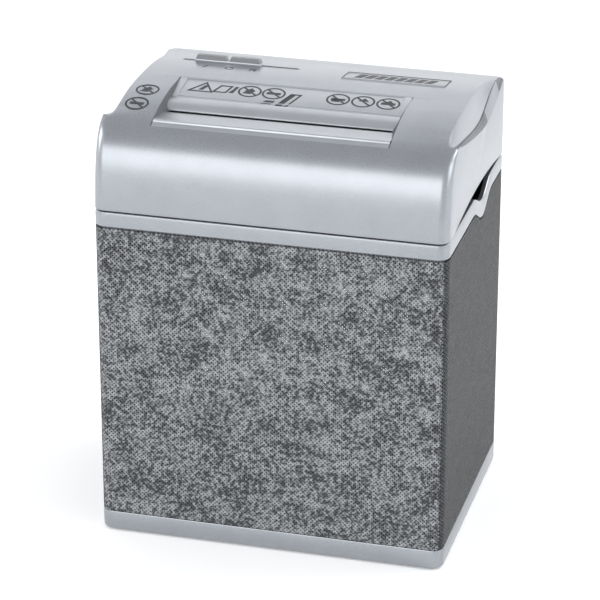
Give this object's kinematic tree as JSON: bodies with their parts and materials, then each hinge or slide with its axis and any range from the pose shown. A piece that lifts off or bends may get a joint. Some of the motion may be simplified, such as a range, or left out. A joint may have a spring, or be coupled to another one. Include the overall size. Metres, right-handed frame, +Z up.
{
  "type": "paper shredder",
  "caption": "Personal paper shredder: a silver cutting head that lifts off a rectangular steel mesh waste bin, with a paper slot and a slide switch on top.",
  "frame": {"origin": "on the floor under the middle of the bin", "axes": "+Z up; +Y towards the back, with the paper slot near the front at -Y; +X to the right for someone facing the front"},
  "size_m": [0.2396, 0.18, 0.3047],
  "materials": {
    "silver_plastic": "satin silver",
    "guide_plastic": "satin silver",
    "black_plastic": "matte",
    "switch_plastic": "satin",
    "rubber": "matte",
    "mesh_steel": "grey painted mesh",
    "plate_steel": "plain",
    "bright_steel": "bright",
    "bush_bronze": "plain",
    "gear_nylon": "plain",
    "motor_zinc": "zinc plated",
    "board_green": "coated",
    "plunger_red": "glossy",
    "capacitor_yellow": "matte"
  },
  "bodies": {
    "bin": {"base_tray": "silver_plastic", "bin_mesh": "mesh_steel", "bin_rim": "silver_plastic", "foot_front_left": "rubber", "foot_front_right": "rubber", "foot_rear_left": "rubber", "foot_rear_right": "rubber"},
    "knob": {"switch_knob": "switch_plastic"},
    "sensor": {"sensor_lever": "black_plastic"},
    "interlock": {"interlock_plunger": "plunger_red"},
    "rear_drum": {"cutter_drum_rear": "bright_steel", "sync_gear_rear": "bright_steel", "drive_gear": "gear_nylon"},
    "front_drum": {"cutter_drum_front": "bright_steel", "sync_gear_front": "bright_steel"},
    "gear_2": {"reduction_gear_2": "gear_nylon"},
    "gear_1": {"reduction_gear_1": "gear_nylon"},
    "rotor": {"motor_shaft": "bright_steel", "motor_pinion": "bright_steel"},
    "head": {"top_cover": "silver_plastic", "badge_plate": "guide_plastic", "cord_gland": "black_plastic", "entry_panel": "guide_plastic", "front_guide": "guide_plastic", "mode_switch": "black_plastic", "lower_housing": "black_plastic", "cover_screw_1": "bright_steel", "cover_screw_2": "bright_steel", "cover_screw_3": "bright_steel", "cover_screw_4": "bright_steel", "bush_front_left": "bush_bronze", "bush_front_right": "bush_bronze", "bush_rear_left": "bush_bronze", "bush_rear_right": "bush_bronze", "frame_plate_left": "plate_steel", "frame_plate_right": "plate_steel", "gear_plate": "plate_steel", "tie_rod_front": "plate_steel", "tie_rod_rear": "plate_steel", "tie_rod_upper": "plate_steel", "stripper_comb_front": "black_plastic", "stripper_comb_rear": "black_plastic", "gear_axle_1": "bright_steel", "gear_axle_2": "bright_steel", "motor": "motor_zinc", "motor_screw_1": "bright_steel", "motor_screw_2": "bright_steel", "control_board": "board_green", "relay": "black_plastic", "suppression_capacitor": "capacitor_yellow", "sensor_pin": "bright_steel", "sensor_switch": "black_plastic", "interlock_switch": "black_plastic"}
  },
  "joints": [
    {"name": "head_lift", "type": "slide", "parent": "bin", "child": "head", "axis": [0, 0, 1], "range_m": [0, 0.1]},
    {"name": "switch_slide", "type": "slide", "parent": "head", "child": "knob", "axis": [1, 0, 0], "range_m": [-0.0165, 0.0165]},
    {"name": "sensor_hinge", "type": "hinge", "parent": "head", "child": "sensor", "pos_m": [-0.01, -0.0371, 0.2817], "axis": [1, 0, 0], "range_deg": [0, 25], "stiffness_Nm_per_rad": 0.0004, "springref_deg": -34.38},
    {"name": "interlock_slide", "type": "slide", "parent": "head", "child": "interlock", "axis": [0, 0, 1], "range_m": [0, 0.0025], "stiffness_N_per_m": 30, "springref_m": -0.006},
    {"name": "rear_drum_spin", "type": "hinge", "parent": "head", "child": "rear_drum", "pos_m": [0, -0.0331, 0.25], "axis": [1, 0, 0], "continuous": true},
    {"name": "front_drum_spin", "type": "hinge", "parent": "head", "child": "front_drum", "pos_m": [0, -0.0591, 0.25], "axis": [1, 0, 0], "continuous": true},
    {"name": "gear_2_spin", "type": "hinge", "parent": "head", "child": "gear_2", "pos_m": [0, -0.0058, 0.24504], "axis": [1, 0, 0], "continuous": true},
    {"name": "gear_1_spin", "type": "hinge", "parent": "head", "child": "gear_1", "pos_m": [0, 0.01729, 0.25998], "axis": [1, 0, 0], "continuous": true},
    {"name": "rotor_spin", "type": "hinge", "parent": "head", "child": "rotor", "pos_m": [0, 0.044, 0.25598], "axis": [1, 0, 0], "continuous": true}
  ],
  "couplings": [
    {"joint": "front_drum_spin", "follows": "rear_drum_spin", "ratio": -1},
    {"joint": "gear_2_spin", "follows": "rear_drum_spin", "ratio": -2.3636},
    {"joint": "gear_1_spin", "follows": "rear_drum_spin", "ratio": 6.303},
    {"joint": "rotor_spin", "follows": "rear_drum_spin", "ratio": -27.733}
  ]
}
